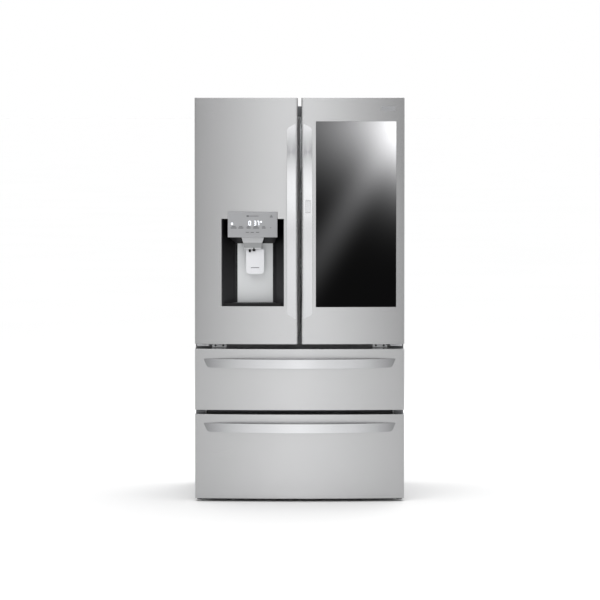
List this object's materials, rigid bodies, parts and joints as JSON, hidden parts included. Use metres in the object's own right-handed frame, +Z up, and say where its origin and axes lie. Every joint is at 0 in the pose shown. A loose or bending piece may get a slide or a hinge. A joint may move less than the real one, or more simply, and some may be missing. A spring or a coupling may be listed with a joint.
{
  "type": "french door refrigerator",
  "caption": "Free-standing french door refrigerator with a water and ice dispenser, a window door in door and two freezer drawers.",
  "frame": {"origin": "on the floor under the middle of the bounding box", "axes": "+Z up, +X to the right seen from the front, the doors face -Y"},
  "size_m": [0.908, 0.921, 1.75],
  "materials": {
    "brushed_steel": "satin",
    "bright_steel": "polished",
    "case_grey": "satin",
    "black_metal": "satin",
    "zinc": "satin",
    "foam": "matte",
    "white_liner": "satin",
    "grey_plastic": "satin",
    "silver_plastic": "satin",
    "black_plastic": "satin",
    "clear_plastic": "gloss",
    "clear_glass": "polished",
    "dark_glass": "polished",
    "grey_rubber": "matte"
  },
  "bodies": {
    "cabinet": {"cabinet_shell": "case_grey", "cabinet_foam": "foam", "fridge_liner": "white_liner", "freezer_liner": "white_liner", "middle_rail": "case_grey", "drawer_rail": "case_grey", "base_grille": "grey_plastic", "rear_cover": "case_grey", "compressor": "black_metal", "top_hinge_left": "zinc", "top_hinge_right": "zinc", "middle_hinge_left": "zinc", "middle_hinge_right": "zinc", "shelf_upper": "clear_glass", "shelf_middle_left": "clear_glass", "fold_shelf_rear": "clear_glass", "crisper_shelf": "clear_glass", "freezer_rails_left": "zinc", "freezer_rails_right": "zinc"},
    "fold_shelf": {"fold_shelf_front": "clear_glass"},
    "left_crisper": {"crisper_left": "clear_plastic"},
    "right_crisper": {"crisper_right": "clear_plastic"},
    "left_leg": {"leg_left": "black_plastic"},
    "right_leg": {"leg_right": "black_plastic"},
    "rollers": {"rear_rollers": "black_plastic"},
    "fan": {"condenser_fan": "black_plastic"},
    "left_door": {"left_door_shell": "brushed_steel", "left_door_liner": "white_liner", "left_door_gasket": "grey_rubber", "left_handle": "bright_steel", "dispenser_housing": "black_plastic", "control_panel": "silver_plastic", "ice_chute": "black_plastic", "ice_compartment": "white_liner", "left_bin_upper": "clear_plastic", "left_bin_lower": "clear_plastic"},
    "paddle": {"dispenser_paddle": "silver_plastic"},
    "tray": {"drip_tray": "black_plastic"},
    "mullion_bar": {"mullion": "grey_plastic"},
    "inner_door": {"inner_door_frame": "white_liner", "inner_door_gasket": "grey_rubber", "inner_bin_upper": "clear_plastic", "inner_bin_lower": "clear_plastic"},
    "outer_door": {"outer_door_shell": "brushed_steel", "outer_door_liner": "grey_plastic", "window_glass": "dark_glass", "right_handle": "bright_steel"},
    "button": {"release_button": "silver_plastic"},
    "middle_drawer": {"middle_drawer_front": "brushed_steel", "middle_drawer_core": "white_liner", "middle_drawer_handle": "bright_steel", "middle_drawer_gasket": "grey_rubber", "middle_drawer_basket": "clear_plastic"},
    "middle_slides": {"middle_slide_members": "zinc"},
    "lower_drawer": {"lower_drawer_front": "brushed_steel", "lower_drawer_core": "white_liner", "lower_drawer_handle": "bright_steel", "lower_drawer_gasket": "grey_rubber", "lower_drawer_basket": "clear_plastic"},
    "lower_slides": {"lower_slide_members": "zinc"}
  },
  "joints": [
    {"name": "door_left_swing", "type": "hinge", "parent": "cabinet", "child": "left_door", "pos_m": [-0.434, -0.322, 1.2], "axis": [0, 0, -1], "range_deg": [0, 120]},
    {"name": "door_right_swing", "type": "hinge", "parent": "cabinet", "child": "inner_door", "pos_m": [0.434, -0.322, 1.2], "axis": [0, 0, 1], "range_deg": [0, 105]},
    {"name": "door_outer_swing", "type": "hinge", "parent": "inner_door", "child": "outer_door", "pos_m": [0.444, -0.354, 1.2], "axis": [0, 0, 1], "range_deg": [0, 70]},
    {"name": "drawer_middle_slide", "type": "slide", "parent": "cabinet", "child": "middle_drawer", "axis": [0, -1, 0], "range_m": [0, 0.45]},
    {"name": "drawer_lower_slide", "type": "slide", "parent": "cabinet", "child": "lower_drawer", "axis": [0, -1, 0], "range_m": [0, 0.4]},
    {"name": "members_middle_slide", "type": "slide", "parent": "cabinet", "child": "middle_slides", "axis": [0, -1, 0], "range_m": [0, 0.225]},
    {"name": "members_lower_slide", "type": "slide", "parent": "cabinet", "child": "lower_slides", "axis": [0, -1, 0], "range_m": [0, 0.2]},
    {"name": "crisper_left_slide", "type": "slide", "parent": "cabinet", "child": "left_crisper", "axis": [0, -1, 0], "range_m": [0, 0.08]},
    {"name": "crisper_right_slide", "type": "slide", "parent": "cabinet", "child": "right_crisper", "axis": [0, -1, 0], "range_m": [0, 0.08]},
    {"name": "shelf_fold_slide", "type": "slide", "parent": "cabinet", "child": "fold_shelf", "axis": [0, 1, 0], "range_m": [0, 0.24]},
    {"name": "mullion_flip", "type": "hinge", "parent": "left_door", "child": "mullion_bar", "pos_m": [-0.038, -0.29, 1.192], "axis": [0, 0, 1], "range_deg": [0, 90]},
    {"name": "paddle_press", "type": "hinge", "parent": "left_door", "child": "paddle", "pos_m": [-0.193, -0.349, 1.094], "axis": [1, 0, 0], "range_deg": [0, 10], "stiffness_Nm_per_rad": 0.4},
    {"name": "tray_pull", "type": "slide", "parent": "left_door", "child": "tray", "axis": [0, -1, 0], "range_m": [0, 0.06]},
    {"name": "release_button_press", "type": "slide", "parent": "outer_door", "child": "button", "axis": [0, 1, 0], "range_m": [0, 0.003], "stiffness_N_per_m": 800},
    {"name": "leg_left_turn", "type": "hinge", "parent": "cabinet", "child": "left_leg", "pos_m": [-0.437, -0.268, 0], "axis": [0, 0, 1], "continuous": true},
    {"name": "leg_right_turn", "type": "hinge", "parent": "cabinet", "child": "right_leg", "pos_m": [0.437, -0.268, 0], "axis": [0, 0, 1], "continuous": true},
    {"name": "rollers_spin", "type": "hinge", "parent": "cabinet", "child": "rollers", "pos_m": [0, 0.4, 0.014], "axis": [1, 0, 0], "continuous": true},
    {"name": "fan_spin", "type": "hinge", "parent": "cabinet", "child": "fan", "pos_m": [0.2, 0.384, 0.168], "axis": [0, 1, 0], "continuous": true}
  ],
  "couplings": [
    {"joint": "mullion_flip", "follows": "door_left_swing", "ratio": 0.75},
    {"joint": "members_middle_slide", "follows": "drawer_middle_slide", "ratio": 0.5},
    {"joint": "members_lower_slide", "follows": "drawer_lower_slide", "ratio": 0.5}
  ]
}
